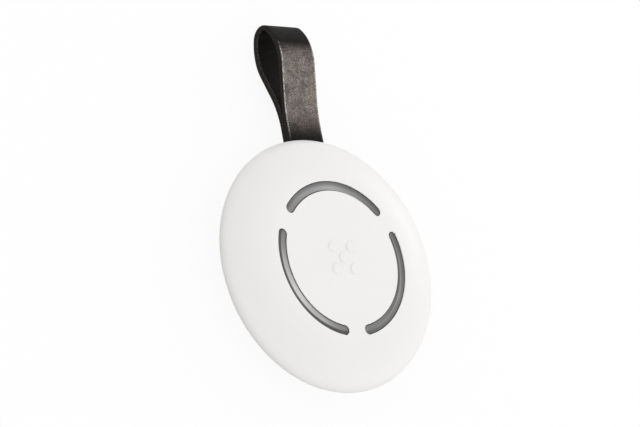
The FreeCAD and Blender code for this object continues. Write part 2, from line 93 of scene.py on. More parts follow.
@dataclass
class Bench:
    """Places shader nodes in one tree and joins their sockets."""

    tree: bpy.types.NodeTree

    def add(self, kind: str, settings: dict[str, Any] | None = None, **inputs: Any) -> bpy.types.Node:
        """Place one node.

        Args:
            kind: Node type, such as ShaderNodeTexNoise.
            settings: Properties of the node itself.
            inputs: Socket values, with the socket's name in lower case and underscores for spaces.

        Returns:
            The new node.
        """
        node = self.tree.nodes.new(kind)
        for name, value in (settings or {}).items():
            setattr(node, name, value)
        for name, value in inputs.items():
            self.socket(node, name).default_value = value
        return node

    @staticmethod
    def socket(node: bpy.types.Node, name: str) -> bpy.types.NodeSocket:
        """Find an input by its plain name.

        Args:
            node: Node that has the input.
            name: Lower-case name, with underscores for spaces.

        Returns:
            The matching input socket.
        """
        for candidate in node.inputs:
            if candidate.name.lower().replace(" ", "_") == name and candidate.enabled:
                return candidate
        raise KeyError(f"{node.name} has no input {name}")

    def join(self, source: bpy.types.NodeSocket, node: bpy.types.Node, name: str) -> None:
        """Link an output to a named input."""
        self.tree.links.new(source, self.socket(node, name))

    def maths(self, operation: str, first: Any, second: Any = None) -> bpy.types.NodeSocket:
        """Place a math node.

        Args:
            operation: Math operation.
            first: Number or socket.
            second: Number, socket or nothing.

        Returns:
            The result's socket.
        """
        node = self.tree.nodes.new("ShaderNodeMath")
        node.operation = operation
        for place, value in enumerate((first, second)):
            if isinstance(value, bpy.types.NodeSocket):
                self.tree.links.new(value, node.inputs[place])
            elif value is not None:
                node.inputs[place].default_value = value
        return node.outputs[0]

    def mixed(self, factor: Any, first: Any, second: Any) -> bpy.types.NodeSocket:
        """Blend two colours.

        Args:
            factor: Number or socket, 0 for the first colour.
            first: Colour or socket.
            second: Colour or socket.

        Returns:
            The blended colour's socket.
        """
        node = self.tree.nodes.new("ShaderNodeMix")
        node.data_type = "RGBA"
        # The node lists its number and vector sockets before its colours
        for place, value in ((0, factor), (6, first), (7, second)):
            if isinstance(value, bpy.types.NodeSocket):
                self.tree.links.new(value, node.inputs[place])
            else:
                node.inputs[place].default_value = value
        return node.outputs[2]

    def ranged(self, value: bpy.types.NodeSocket, low: float, high: float,
               to_low: float = 0.0, to_high: float = 1.0) -> bpy.types.NodeSocket:
        """Map a value from one range to another, smoothly and clamped.

        Args:
            value: Socket to map.
            low: Start of the source range.
            high: End of the source range.
            to_low: Result at low.
            to_high: Result at high.

        Returns:
            The mapped socket.
        """
        node = self.add("ShaderNodeMapRange", {"interpolation_type": "SMOOTHSTEP"})
        self.tree.links.new(value, node.inputs[0])
        for place, number in enumerate((low, high, to_low, to_high), start=1):
            node.inputs[place].default_value = number
        return node.outputs[0]

    def place(self) -> bpy.types.NodeSocket:
        """The point on the piece, in metres of the part's own frame."""
        return self.add("ShaderNodeTexCoord").outputs["Object"]

    def noise(self, scale: float, detail: float = 2.0, roughness: float = 0.5) -> bpy.types.NodeSocket:
        """Noise over the piece.

        Args:
            scale: Waves per metre.
            detail: Octaves.
            roughness: Strength of the finer octaves.

        Returns:
            The noise value's socket.
        """
        node = self.add("ShaderNodeTexNoise", scale=scale, detail=detail, roughness=roughness)
        self.join(self.place(), node, "vector")
        return node.outputs[0]


@dataclass
class EffectGroup:
    """A shader node group with named inputs and outputs."""

    name: str
    inputs: dict[str, tuple[Socket, Any]]
    outputs: dict[str, Socket]

    def open(self) -> tuple[Bench, dict[str, bpy.types.NodeSocket], bpy.types.Node]:
        """Start the group.

        Returns:
            The bench, the input sockets by name and the output node.
        """
        tree = bpy.data.node_groups.new(self.name, "ShaderNodeTree")
        for name, (kind, value) in self.inputs.items():
            socket = tree.interface.new_socket(name=name, in_out="INPUT", socket_type=kind.value)
            socket.default_value = value
        for name, kind in self.outputs.items():
            tree.interface.new_socket(name=name, in_out="OUTPUT", socket_type=kind.value)
        bench = Bench(tree)
        source = bench.add("NodeGroupInput")
        target = bench.add("NodeGroupOutput")
        return bench, {socket.name: socket for socket in source.outputs if socket.name}, target


class Effects:
    """Builds each shared effect once and hands it to the materials."""

    surface: dict[str, Socket] = {
        "Colour": Socket.COLOUR, "Roughness": Socket.NUMBER, "Height": Socket.NUMBER}

    def __init__(self) -> None:
        """Build the groups."""
        self.moulded = self.moulded_skin()
        self.brushed = self.brushed_sheet()
        self.hide = self.leather_grain()

    @staticmethod
    def uneven(bench: Bench, level: bpy.types.NodeSocket, wave: bpy.types.NodeSocket,
               swing: float) -> bpy.types.NodeSocket:
        """Roughness that swings with a noise.

        Args:
            bench: Bench of the group.
            level: Roughness to swing about.
            wave: Noise, whose middle is 0.5.
            swing: Change of the roughness over the whole range of the noise.

        Returns:
            The roughness socket.
        """
        change = bench.maths("MULTIPLY", bench.maths("SUBTRACT", wave, 0.5), swing)
        return bench.maths("ADD", level, change)

    def moulded_skin(self) -> bpy.types.NodeTree:
        """Fine spark texture and faint drift of tone on a moulded plastic or rubber piece.

        Returns:
            The node group.
        """
        group = EffectGroup(
            "moulded_skin",
            {"Colour": (Socket.COLOUR, grey(0.8)), "Drift": (Socket.NUMBER, 0.02),
             "Grain": (Socket.NUMBER, 6000.0), "Roughness": (Socket.NUMBER, 0.4)},
            self.surface,
        )
        bench, source, target = group.open()
        drift = bench.ranged(bench.noise(scale=60.0, detail=3.0), low=0.3, high=0.7)
        factor = bench.maths("MULTIPLY", drift, source["Drift"])
        colour = bench.mixed(factor, source["Colour"], grey(0.0))
        grain = bench.add("ShaderNodeTexNoise", detail=3.0, roughness=0.55)
        bench.join(bench.place(), grain, "vector")
        bench.join(source["Grain"], grain, "scale")
        roughness = self.uneven(bench, source["Roughness"], grain.outputs[0], swing=0.12)
        bench.join(colour, target, "colour")
        bench.join(roughness, target, "roughness")
        bench.join(grain.outputs[0], target, "height")
        return bench.tree

    def brushed_sheet(self) -> bpy.types.NodeTree:
        """Rolled and brushed face of sheet metal.

        Returns:
            The node group.
        """
        group = EffectGroup(
            "brushed_sheet",
            {"Colour": (Socket.COLOUR, grey(0.6)), "Roughness": (Socket.NUMBER, 0.3),
             "Stretch": (Socket.NUMBER, 30.0)},
            self.surface,
        )
        bench, source, target = group.open()
        stretch = bench.add("ShaderNodeMapping")
        bench.join(bench.place(), stretch, "vector")
        sizes = bench.add("ShaderNodeCombineXYZ", x=1.0, z=1.0)
        bench.join(source["Stretch"], sizes, "y")
        bench.join(sizes.outputs[0], stretch, "scale")
        lines = bench.add("ShaderNodeTexNoise", scale=300.0, detail=4.0, roughness=0.6)
        bench.join(stretch.outputs[0], lines, "vector")
        roughness = self.uneven(bench, source["Roughness"], lines.outputs[0], swing=0.3)
        shade = bench.ranged(lines.outputs[0], low=0.3, high=0.7, to_high=0.12)
        bench.join(bench.mixed(shade, source["Colour"], grey(0.1)), target, "colour")
        bench.join(roughness, target, "roughness")
        bench.join(lines.outputs[0], target, "height")
        return bench.tree

    def leather_grain(self) -> bpy.types.NodeTree:
        """Pebbled grain, pores and rubbed tops of full-grain leather.

        Returns:
            The node group.
        """
        group = EffectGroup(
            "leather_grain",
            {"Deep": (Socket.COLOUR, grey(0.01)), "Rubbed": (Socket.COLOUR, grey(0.08)),
             "Pebble": (Socket.NUMBER, 1500.0), "Roughness": (Socket.NUMBER, 0.5)},
            self.surface,
        )
        bench, source, target = group.open()
        cells = bench.add("ShaderNodeTexVoronoi", {"feature": "DISTANCE_TO_EDGE"})
        bench.join(bench.place(), cells, "vector")
        bench.join(source["Pebble"], cells, "scale")
        pebbles = bench.ranged(cells.outputs["Distance"], low=0.0, high=0.2)
        fine = bench.noise(scale=7000.0, detail=4.0, roughness=0.65)
        blotches = bench.noise(scale=330.0, detail=3.0, roughness=0.65)
        dust = bench.noise(scale=2600.0, detail=3.0, roughness=0.7)
        pebble_part, fine_part, pores_rubbed = 0.55, 0.75, 0.7
        height = bench.maths("ADD", bench.maths("MULTIPLY", pebbles, pebble_part),
                             bench.maths("MULTIPLY", fine, fine_part))
        tops = bench.maths("ADD", bench.maths("MULTIPLY", pebbles, 1.0 - pores_rubbed), pores_rubbed)
        speckle = bench.ranged(dust, low=0.36, high=0.66, to_low=0.42)
        patches = bench.ranged(blotches, low=0.32, high=0.62, to_low=0.55)
        rubbed = bench.maths("MULTIPLY", bench.maths("MULTIPLY", speckle, tops), patches)
        bench.join(bench.mixed(rubbed, source["Deep"], source["Rubbed"]), target, "colour")
        roughness = self.uneven(bench, source["Roughness"], blotches, swing=0.35)
        bench.join(roughness, target, "roughness")
        bench.join(height, target, "height")
        return bench.tree


@dataclass(frozen=True)
class Finish(ABC):
    """Common part of every finish: its name and the shader it ends in."""

    name: str

    @abstractmethod
    def build(self, effects: Effects) -> bpy.types.Material:
        """Make the material.

        Args:
            effects: Shared effects.

        Returns:
            The material.
        """

    def start(self) -> tuple[bpy.types.Material, Bench, bpy.types.Node]:
        """Open a material with a Principled shader.

        Returns:
            The material, its bench and the shader node.
        """
        material = bpy.data.materials.new(self.name)
        material.use_nodes = True
        bench = Bench(material.node_tree)
        material.node_tree.nodes.clear()
        shader = bench.add("ShaderNodeBsdfPrincipled")
        output = bench.add("ShaderNodeOutputMaterial")
        bench.join(shader.outputs[0], output, "surface")
        return material, bench, shader

    @staticmethod
    def effect(bench: Bench, tree: bpy.types.NodeTree, values: dict[str, Any]) -> bpy.types.Node:
        """Place a shared effect.

        Args:
            bench: Bench of the material.
            tree: The effect's group.
            values: Socket values by name.

        Returns:
            The group's node.
        """
        node = bench.add("ShaderNodeGroup", {"node_tree": tree})
        for name, value in values.items():
            node.inputs[name].default_value = value
        return node

    @staticmethod
    def relief(bench: Bench, shader: bpy.types.Node, height: bpy.types.NodeSocket, depth: float) -> None:
        """Turn a height into the shader's normal.

        Args:
            bench: Bench of the material.
            shader: Principled shader.
            height: Height from 0 to 1, or in metres with a depth of 1.
            depth: Depth of the relief in metres.
        """
        bump = bench.add("ShaderNodeBump", strength=1.0, distance=depth)
        bench.join(height, bump, "height")
        bench.join(bump.outputs[0], shader, "normal")


@dataclass(frozen=True)
class Moulded(Finish):
    """Moulded plastic, ceramic or rubber with a fine even texture."""

    colour: Colour = grey(0.8)
    roughness: float = 0.4
    drift: float = 0.02
    grain: float = 6000.0
    depth: float = 4e-6
    specular: float = 0.5

    def build(self, effects: Effects) -> bpy.types.Material:
        """Make the material.

        Args:
            effects: Shared effects.

        Returns:
            The material.
        """
        material, bench, shader = self.start()
        skin = self.effect(bench, effects.moulded, {"Colour": self.colour, "Drift": self.drift,
                                                    "Grain": self.grain, "Roughness": self.roughness})
        bench.join(skin.outputs["Colour"], shader, "base_color")
        bench.join(skin.outputs["Roughness"], shader, "roughness")
        bench.socket(shader, "specular_ior_level").default_value = self.specular
        self.relief(bench, shader, skin.outputs["Height"], self.depth)
        return material


@dataclass(frozen=True)
class Brushed(Finish):
    """Sheet metal."""

    colour: Colour = grey(0.6)
    roughness: float = 0.3
    depth: float = 3e-6

    def build(self, effects: Effects) -> bpy.types.Material:
        """Make the material.

        Args:
            effects: Shared effects.

        Returns:
            The material.
        """
        material, bench, shader = self.start()
        sheet = self.effect(bench, effects.brushed, {"Colour": self.colour, "Roughness": self.roughness})
        bench.join(sheet.outputs["Colour"], shader, "base_color")
        bench.join(sheet.outputs["Roughness"], shader, "roughness")
        bench.socket(shader, "metallic").default_value = 1.0
        self.relief(bench, shader, sheet.outputs["Height"], self.depth)
        return material


@dataclass(frozen=True)
class SmokedGuide(Finish):
    """Smoked, silvered light guide: dark at its edges; a painted reflection makes it palest mid-bar and on
    one side.

    Places beside a bar's middle line are shares of half its width, above zero away from the axis. Spans
    are in degrees.
    """

    rim: Colour = grey(0.030)
    # Tints of the guide: the lighter inner and darker outer are painted shading, and pale is a painted
    # reflection
    outer: Colour = grey(0.235)
    inner: Colour = (0.430, 0.426, 0.422, 1.0)
    pale: Colour = (0.760, 0.753, 0.746, 1.0)
    # Which way the side with the painted reflection lies, and the share of the radius at which it starts
    pale_side: tuple[float, float, float] = (-0.866, -0.500, 0.0)
    pale_start: float = 0.66
    # Where the tint turns from the lighter inner to the darker outer, a painted shading, and where the dark
    # line along the outline lies
    outer_start: float = -0.20
    outer_end: float = 0.66
    line_start: float = 0.84
    line_end: float = 0.99
    # Shade under the outer wall on the pale side, and under the inner wall on the +X side
    shade: float = 0.80
    shade_start: float = -0.25
    shade_end: float = 0.15
    inner_wall_shade: float = 0.75
    inner_wall_shade_start: float = 0.12
    inner_wall_shade_end: float = -0.08
    # Painted shading along each bar: how much dimmer it gets within the span of its painted bright middle,
    # and from there to its end
    painted_light_span: float = 22.0
    dimmed: float = 0.23
    ended: float = 0.18
    silver: float = 0.5
    roughness: float = 0.20
    drift: float = 0.10
    grain: float = 9000.0
    depth: float = 2e-6
    bars: int = 3
    bar_radius: float = 17.2 * MILLIMETRE
    bar_width: float = 2.06 * MILLIMETRE
    dish_radius: float = 1.28 * MILLIMETRE
    half_span: float = 48.35

    def turn(self, bench: Bench, across: bpy.types.NodeSocket,
             along: bpy.types.NodeSocket) -> bpy.types.NodeSocket:
        """Angle of a point from the middle of its bar.

        Args:
            bench: Bench of the material.
            across: X of the point.
            along: Y of the point.

        Returns:
            The angle's socket, in radians and never negative.
        """
        sector = math.tau / self.bars
        angle = bench.maths("ADD", bench.maths("ARCTAN2", across, along), math.tau + sector / 2)
        folded = bench.maths("SUBTRACT", bench.maths("MODULO", angle, sector), sector / 2)
        return bench.maths("ABSOLUTE", folded)

    def closeness(self, bench: Bench, turn: bpy.types.NodeSocket,
                  radius: bpy.types.NodeSocket) -> bpy.types.NodeSocket:
        """How near a point is to the outline of its bar, 0 on the middle line and 1 at the edge.

        Args:
            bench: Bench of the material.
            turn: Angle from the middle of the bar.
            radius: Distance from the axis.

        Returns:
            The closeness socket.
        """
        past = bench.maths("SUBTRACT", turn, math.radians(self.half_span))
        past = bench.maths("MAXIMUM", past, 0.0)
        reach = bench.maths("MULTIPLY", past, self.bar_radius)
        beside = bench.maths("SUBTRACT", radius, self.bar_radius)
        square = bench.maths("ADD", bench.maths("POWER", reach, 2.0), bench.maths("POWER", beside, 2.0))
        return bench.maths("DIVIDE", bench.maths("SQRT", square), self.bar_width / 2)

    def dish(self, bench: Bench, closeness: bpy.types.NodeSocket) -> bpy.types.NodeSocket:
        """Height of the dished top over its middle, which the relief takes away, so that the painted tint
        rather than the dish gives the shading.

        Args:
            bench: Bench of the material.
            closeness: Share of the way from the middle line to the edge.

        Returns:
            The height's socket, in metres.
        """
        beside = bench.maths("MULTIPLY", closeness, self.bar_width / 2)
        square = bench.maths("SUBTRACT", self.dish_radius ** 2, bench.maths("POWER", beside, 2.0))
        return bench.maths("SUBTRACT", self.dish_radius, bench.maths("SQRT", square))

    def tint(self, bench: Bench, toward: bpy.types.NodeSocket, turn: bpy.types.NodeSocket,
             beside: bpy.types.NodeSocket) -> bpy.types.NodeSocket:
        """Colour of the guide away from its dark edges, with painted shading and a painted reflection in
        it.

        Args:
            bench: Bench of the material.
            toward: Reach toward the pale side, in metres.
            turn: Angle from the middle of the bar.
            beside: Place beside the bar's middle line.

        Returns:
            The colour's socket.
        """
        # Painted shading: lighter inner side, darker outer side, and the painted reflection on the pale
        # side
        outward = bench.ranged(beside, self.outer_start, self.outer_end)
        aside = bench.ranged(toward, self.bar_radius * self.pale_start, self.bar_radius)
        colour = bench.mixed(outward, bench.mixed(aside, self.inner, self.pale), self.outer)
        # Painted shading: each bar dims away from its bright middle, and more toward its ends
        painted_light_end, bar_end = math.radians(self.painted_light_span), math.radians(self.half_span)
        dimmed = bench.ranged(turn, 0.0, painted_light_end, to_high=self.dimmed)
        ended = bench.ranged(turn, painted_light_end, bar_end, to_high=self.ended)
        return bench.mixed(bench.maths("ADD", dimmed, ended), colour, self.rim)

    def darkness(self, bench: Bench, toward: bpy.types.NodeSocket, across: bpy.types.NodeSocket,
                 beside: bpy.types.NodeSocket, closeness: bpy.types.NodeSocket) -> bpy.types.NodeSocket:
        """How far the tint gives way to the rim's: along the outline, and in the painted shade beside the
        slot's walls.

        Args:
            bench: Bench of the material.
            toward: Reach toward the pale side, in metres.
            across: X of the point.
            beside: Place beside the bar's middle line.
            closeness: Share of the way from the middle line to the edge.

        Returns:
            The share's socket.
        """
        # Painted shade under the outer wall on the pale side
        facing = bench.ranged(toward, 0.0, self.bar_radius)
        shaded = bench.ranged(beside, self.shade_start, self.shade_end)
        shaded = bench.maths("MULTIPLY", bench.maths("MULTIPLY", shaded, facing), self.shade)
        # Painted shade under the inner wall on the +X side
        turned = bench.ranged(across, 0.0, self.bar_radius)
        inner_wall_shade = bench.ranged(beside, self.inner_wall_shade_start, self.inner_wall_shade_end)
        inner_wall_shade = bench.maths("MULTIPLY", bench.maths("MULTIPLY", inner_wall_shade, turned), self.inner_wall_shade)
        line = bench.ranged(closeness, self.line_start, self.line_end)
        return bench.maths("MAXIMUM", line, bench.maths("MAXIMUM", shaded, inner_wall_shade))

    def build(self, effects: Effects) -> bpy.types.Material:
        """Make the material.

        Args:
            effects: Shared effects.

        Returns:
            The material.
        """
        material, bench, shader = self.start()
        place = bench.place()
        split = bench.add("ShaderNodeSeparateXYZ")
        bench.join(place, split, "vector")
        across, along = split.outputs["X"], split.outputs["Y"]
        flat = bench.maths("ADD", bench.maths("POWER", across, 2.0), bench.maths("POWER", along, 2.0))
        radius = bench.maths("SQRT", flat)
        # Reach toward the side that carries the painted reflection
        pale_reach = bench.add("ShaderNodeVectorMath", {"operation": "DOT_PRODUCT"})
        bench.join(place, pale_reach, "vector")
        pale_reach.inputs[1].default_value = self.pale_side
        toward = pale_reach.outputs["Value"]
        turn = self.turn(bench, across, along)
        closeness = self.closeness(bench, turn, radius)
        outside = bench.maths("SUBTRACT", radius, self.bar_radius)
        beside = bench.maths("DIVIDE", outside, self.bar_width / 2)
        darkness = self.darkness(bench, toward, across, beside, closeness)
        # The painted tint, darkened along the outline and in the painted shade
        colour = bench.mixed(darkness, self.tint(bench, toward, turn, beside), self.rim)
        skin = self.effect(bench, effects.moulded, {"Drift": self.drift, "Grain": self.grain,
                                                    "Roughness": self.roughness})
        bench.tree.links.new(colour, skin.inputs["Colour"])
        bench.join(skin.outputs["Colour"], shader, "base_color")
        bench.join(skin.outputs["Roughness"], shader, "roughness")
        bench.socket(shader, "metallic").default_value = self.silver
        grain = bench.maths("MULTIPLY", skin.outputs["Height"], self.depth)
        height = bench.maths("SUBTRACT", grain, self.dish(bench, closeness))
        self.relief(bench, shader, height, depth=1.0)
        return material


@dataclass(frozen=True)
class Leather(Finish):
    """Full-grain leather, dark where it is fresh, dusty where it is rubbed and lit there by a painted
    sheen, with dark cut edges.

    The rubbed line beside each cut edge, burnish with a painted highlight, is placed by its share of the
    width from the middle of the strip.
    """

    deep: Colour = (0.0045, 0.0037, 0.0033, 1.0)
    fresh: Colour = (0.0085, 0.0068, 0.0060, 1.0)
    # Rubbed front: its light colour is partly wear and partly a painted sheen in place of the leather's
    # gloss
    rubbed: Colour = (0.350, 0.298, 0.270, 1.0)
    edge: Colour = (0.0170, 0.0135, 0.0120, 1.0)
    # Burnished edge line: its near-white colour is partly a painted highlight along the rounded edge
    burnish_and_highlight: Colour = (0.72, 0.69, 0.66, 1.0)
    roughness: float = 0.5
    specular: float = 0.05
    pebble: float = 1700.0
    depth: float = 45e-6
    line_start: float = 0.448
    line_end: float = 0.474
    line_grain: float = 4200.0
    line_bare: float = 0.44
    line_full: float = 0.60
    line_power: float = 0.4

    def build(self, effects: Effects) -> bpy.types.Material:
        """Make the material.

        Args:
            effects: Shared effects.

        Returns:
            The material.
        """
        material, bench, shader = self.start()
        wear_and_sheen = bench.add("ShaderNodeAttribute", {"attribute_name": "wear_and_sheen"}).outputs["Fac"]
        cut = bench.add("ShaderNodeAttribute", {"attribute_name": "cut_edge"}).outputs["Fac"]
        grain = self.effect(bench, effects.hide, {"Deep": self.deep, "Pebble": self.pebble,
                                                  "Roughness": self.roughness})
        # The rubbed colour, wear with a painted sheen, comes in where the strip is rubbed
        bench.tree.links.new(bench.mixed(wear_and_sheen, self.fresh, self.rubbed), grain.inputs["Rubbed"])
        strip = bench.add("ShaderNodeUVMap", {"uv_map": "strip"})
        split = bench.add("ShaderNodeSeparateXYZ")
        bench.join(strip.outputs[0], split, "vector")
        offset = bench.maths("ABSOLUTE", bench.maths("SUBTRACT", split.outputs["Y"], 0.5))
        # Line beside each cut edge: burnish with a painted highlight, speckled, strongest where the front
        # is rubbed
        line = bench.ranged(offset, self.line_start, self.line_end)
        speckle = bench.noise(self.line_grain, detail=3.0, roughness=0.6)
        speckle = bench.ranged(speckle, self.line_bare, self.line_full)
        reach = bench.maths("POWER", wear_and_sheen, self.line_power)
        rub_and_sheen = bench.maths("MULTIPLY", bench.maths("MULTIPLY", line, speckle), reach)
        colour = bench.mixed(rub_and_sheen, grain.outputs["Colour"], self.burnish_and_highlight)
        colour = bench.mixed(cut, colour, self.edge)
        bench.join(colour, shader, "base_color")
        bench.join(grain.outputs["Roughness"], shader, "roughness")
        bench.socket(shader, "specular_ior_level").default_value = self.specular
        self.relief(bench, shader, grain.outputs["Height"], self.depth)
        return material


@dataclass
class Piece(ABC):
    """Shared tools of the sub-assemblies."""

    effects: Effects
    frame: dict[str, Any]

    @abstractmethod
    def build(self) -> None:
        """Build and dress the sub-assembly."""

    def dress(self, node: str, finish: Finish) -> None:
        """Give a carried-over node its finish.

        Args:
            node: Name of the node.
            finish: Its finish.
        """
        shape = self.frame["nodes"][node]
        shape.data.materials.clear()
        shape.data.materials.append(finish.build(self.effects))
        log.info("dressed %s", node)


@dataclass
class PressCover(Piece):
    """White front with its light ring and the pad behind it."""

    shell: Moulded = Moulded("cover_white", colour=(0.835, 0.826, 0.814, 1.0), roughness=0.42,
                             drift=0.012, grain=9000.0, depth=2e-6)
    guide: SmokedGuide = SmokedGuide("light_grey")
    pad: Moulded = Moulded("pad_rubber", colour=grey(0.08), roughness=0.75)

    def build(self) -> None:
        """Dress the cover's nodes."""
        self.dress("front_cover", self.shell)
        self.dress("light_ring", self.guide)
        self.dress("press_pad", self.pad)


@dataclass
class RearShell(Piece):
    """Foot, battery door and its sealing ring."""

    cover: Moulded = Moulded("rear_white", colour=(0.80, 0.80, 0.79, 1.0), roughness=0.55,
                             grain=3500.0, depth=1.2e-5)
    door: Moulded = Moulded("door_white", colour=(0.80, 0.80, 0.79, 1.0), roughness=0.5,
                            grain=3500.0, depth=1.2e-5)
    ring: Moulded = Moulded("ring_rubber", colour=grey(0.02), roughness=0.6)

    def build(self) -> None:
        """Dress the rear nodes."""
        self.dress("rear_cover", self.cover)
        self.dress("battery_door", self.door)
        self.dress("door_o_ring", self.ring)


@dataclass
class PowerPack(Piece):
    """Coin cell and its contacts."""

    def build(self) -> None:
        """Dress the cell and the contacts."""
        self.dress("coin_cell", Brushed("cell_steel", colour=grey(0.62), roughness=0.28))
        for node in ("battery_clip", "battery_spring"):
            self.dress(node, Brushed("contact_metal", colour=(0.72, 0.66, 0.50, 1.0), roughness=0.25))


@dataclass
class Electronics(Piece):
    """Circuit board with its parts, the switch and the clamping frame."""

    def finishes(self) -> Iterator[tuple[str, Finish]]:
        """Each node with its finish.

        Returns:
            Pairs of node name and finish.
        """
        yield "circuit_board", Moulded("board_green", colour=(0.02, 0.12, 0.05, 1.0), roughness=0.35,
                                       drift=0.3)
        yield "leds", Moulded("lamp_white", colour=(0.80, 0.78, 0.62, 1.0), roughness=0.2)
        yield "resistors", Moulded("resistor_black", colour=grey(0.02), roughness=0.4)
        yield "capacitors", Moulded("capacitor_tan", colour=(0.30, 0.20, 0.11, 1.0), roughness=0.35)
        yield "radio_chip", Moulded("chip_black", colour=grey(0.015), roughness=0.6)
        yield "crystal", Brushed("crystal_steel", colour=grey(0.66), roughness=0.2)
        yield "shield_can", Brushed("can_steel", colour=grey(0.58), roughness=0.35)
        yield "chip_antenna", Moulded("antenna_ceramic", colour=(0.70, 0.68, 0.60, 1.0), roughness=0.35)
        yield "switch_body", Moulded("switch_black", colour=grey(0.02), roughness=0.55)
        yield "switch_frame", Brushed("switch_steel", colour=grey(0.6), roughness=0.3)
        yield "switch_plunger", Moulded("stem_black", colour=grey(0.02), roughness=0.5)
        yield "inner_frame", Moulded("frame_grey", colour=grey(0.10), roughness=0.6)
        yield "frame_screws", Brushed("screw_steel", colour=grey(0.5), roughness=0.3)
        yield "strap_pin", Brushed("pin_steel", colour=grey(0.6), roughness=0.25)

    def build(self) -> None:
        """Dress the electronics."""
        for node, finish in self.finishes():
            self.dress(node, finish)


@dataclass(frozen=True)
class Bend:
    """One round stretch of the strap's side view; a turn above zero bends toward the face."""

    radius: float
    turn: float


@dataclass
class LeatherStrap(Piece):
    """Leather strip folded into a loop, with rounded cut edges and slightly uneven faces.

    Its bends and lengths are those of the plain solid that it stands in for. Turns are in degrees.
    """

    leather: float = 1.3 * MILLIMETRE
    tail_gap: float = 0.04 * MILLIMETRE
    tail_end: float = 18.9 * MILLIMETRE
    neck_reach: float = 33.4 * MILLIMETRE
    front_neck: Bend = Bend(40.0 * MILLIMETRE, 10.6)
    shoulder: Bend = Bend(11.7 * MILLIMETRE, -51.5)
    crown: Bend = Bend(2.85 * MILLIMETRE, -118.8)
    rear_bend: float = 13.0 * MILLIMETRE
    rear_neck: Bend = Bend(24.3 * MILLIMETRE, 20.8)
    middle_height: float = 6.28 * MILLIMETRE
    # Where the case ends, and how the strip gets uneven and skewed outside it
    rim: float = 30.5 * MILLIMETRE
    uneven_reach: float = 2.0 * MILLIMETRE
    uneven_scale: float = 300.0
    uneven_face: float = 0.03
    uneven_side: float = 0.003
    side_scale: float = 0.6
    side_shift: float = 7.0
    skew: float = 0.22 * MILLIMETRE
    skew_reach: float = 20.0 * MILLIMETRE
    # Length of a step along the strip, and the fewest steps on a bend and on a flat stretch
    step: float = 0.35 * MILLIMETRE
    bend_steps: int = 3
    run_steps: int = 2
    corner: float = 0.16 * MILLIMETRE
    face_points: int = 17
    corner_points: int = 4
    edge_places: tuple[float, ...] = (1.0, 0.33, -0.33, -1.0)
    # Where the rubbed front with its painted sheen begins and ends, in Y, and how much of both the rear and
    # the inside get beside it
    wear_and_sheen_start: tuple[float, float] = (30.0 * MILLIMETRE, 38.5 * MILLIMETRE)
    wear_and_sheen_end: tuple[float, float] = (49.8 * MILLIMETRE, 54.2 * MILLIMETRE)
    rear_wear_and_sheen: float = 0.12
    inside_wear_and_sheen: float = 0.1
    finish: Leather = Leather("strap_leather")

    def bends(self) -> list[Bend]:
        """The loop's bends from the front neck to the rear neck.

        Returns:
            Five bends whose turns add up to half a turn.
        """
        others = self.front_neck.turn + self.shoulder.turn + self.crown.turn + self.rear_neck.turn
        rear = Bend(self.rear_bend, -180.0 - others)
        return [self.front_neck, self.shoulder, self.crown, rear, self.rear_neck]

    @staticmethod
    def heading(angle: float) -> Vector:
        """Unit step in the side view, at an angle in degrees from +Y toward +Z."""
        turn = math.radians(angle)
        return Vector((0.0, math.cos(turn), math.sin(turn)))

    def bend_points(self, start: Vector, angle: float, bend: Bend) -> list[tuple[Vector, float]]:
        """Points along one bend, without its start.

        Args:
            start: Where the bend starts.
            angle: Heading at the start.
            bend: The bend.

        Returns:
            Points with their headings.
        """
        side = math.copysign(1.0, bend.turn)
        centre = start + self.heading(angle + 90 * side) * bend.radius
        steps = max(self.bend_steps, round(math.radians(abs(bend.turn)) * bend.radius / self.step))
        found = []
        for count in range(1, steps + 1):
            here = angle + bend.turn * count / steps
            found.append((centre - self.heading(here + 90 * side) * bend.radius, here))
        return found

    def straights(self) -> tuple[float, float]:
        """Lengths of the two flat stretches that close the loop on itself.

        Returns:
            Length of the front stretch and of the rear stretch.
        """
        lift = (self.leather + self.tail_gap) / 2
        spot = Vector((0.0, self.neck_reach, self.middle_height + lift))
        goal = Vector((0.0, self.neck_reach, self.middle_height - lift))
        angle = 0.0
        for bend in self.bends():
            spot, angle = self.bend_points(spot, angle, bend)[-1]
        missing = goal - spot
        first = self.heading(self.front_neck.turn)
        second = self.heading(-180.0 - self.rear_neck.turn)
        scale = first.y * second.z - first.z * second.y
        front = (missing.y * second.z - missing.z * second.y) / scale
        rear = (first.y * missing.z - first.z * missing.y) / scale
        return front, rear

    def run_points(self, start: Vector, angle: float, length: float) -> list[tuple[Vector, float]]:
        """Points along a flat stretch, without its start.

        Args:
            start: Where the stretch starts.
            angle: Its heading.
            length: Its length.

        Returns:
            Points with their headings.
        """
        steps = max(self.run_steps, round(length / self.step))
        reaches = [length * count / steps for count in range(1, steps + 1)]
        return [(start + self.heading(angle) * reach, angle) for reach in reaches]

    def middle_line(self) -> list[tuple[Vector, float]]:
        """The strip's middle line from the front tail round to the rear tail.

        Returns:
            Points with their headings.
        """
        lift = (self.leather + self.tail_gap) / 2
        tail = self.neck_reach - self.tail_end
        start = Vector((0.0, self.tail_end, self.middle_height + lift))
        line = [(start, 0.0)]
        line += self.run_points(start, 0.0, tail)
        front, rear = self.straights()
        after = (front, 0.0, 0.0, rear, tail)
        for bend, length in zip(self.bends(), after):
            line += self.bend_points(*line[-1], bend)
            if length:
                line += self.run_points(*line[-1], length)
        return line

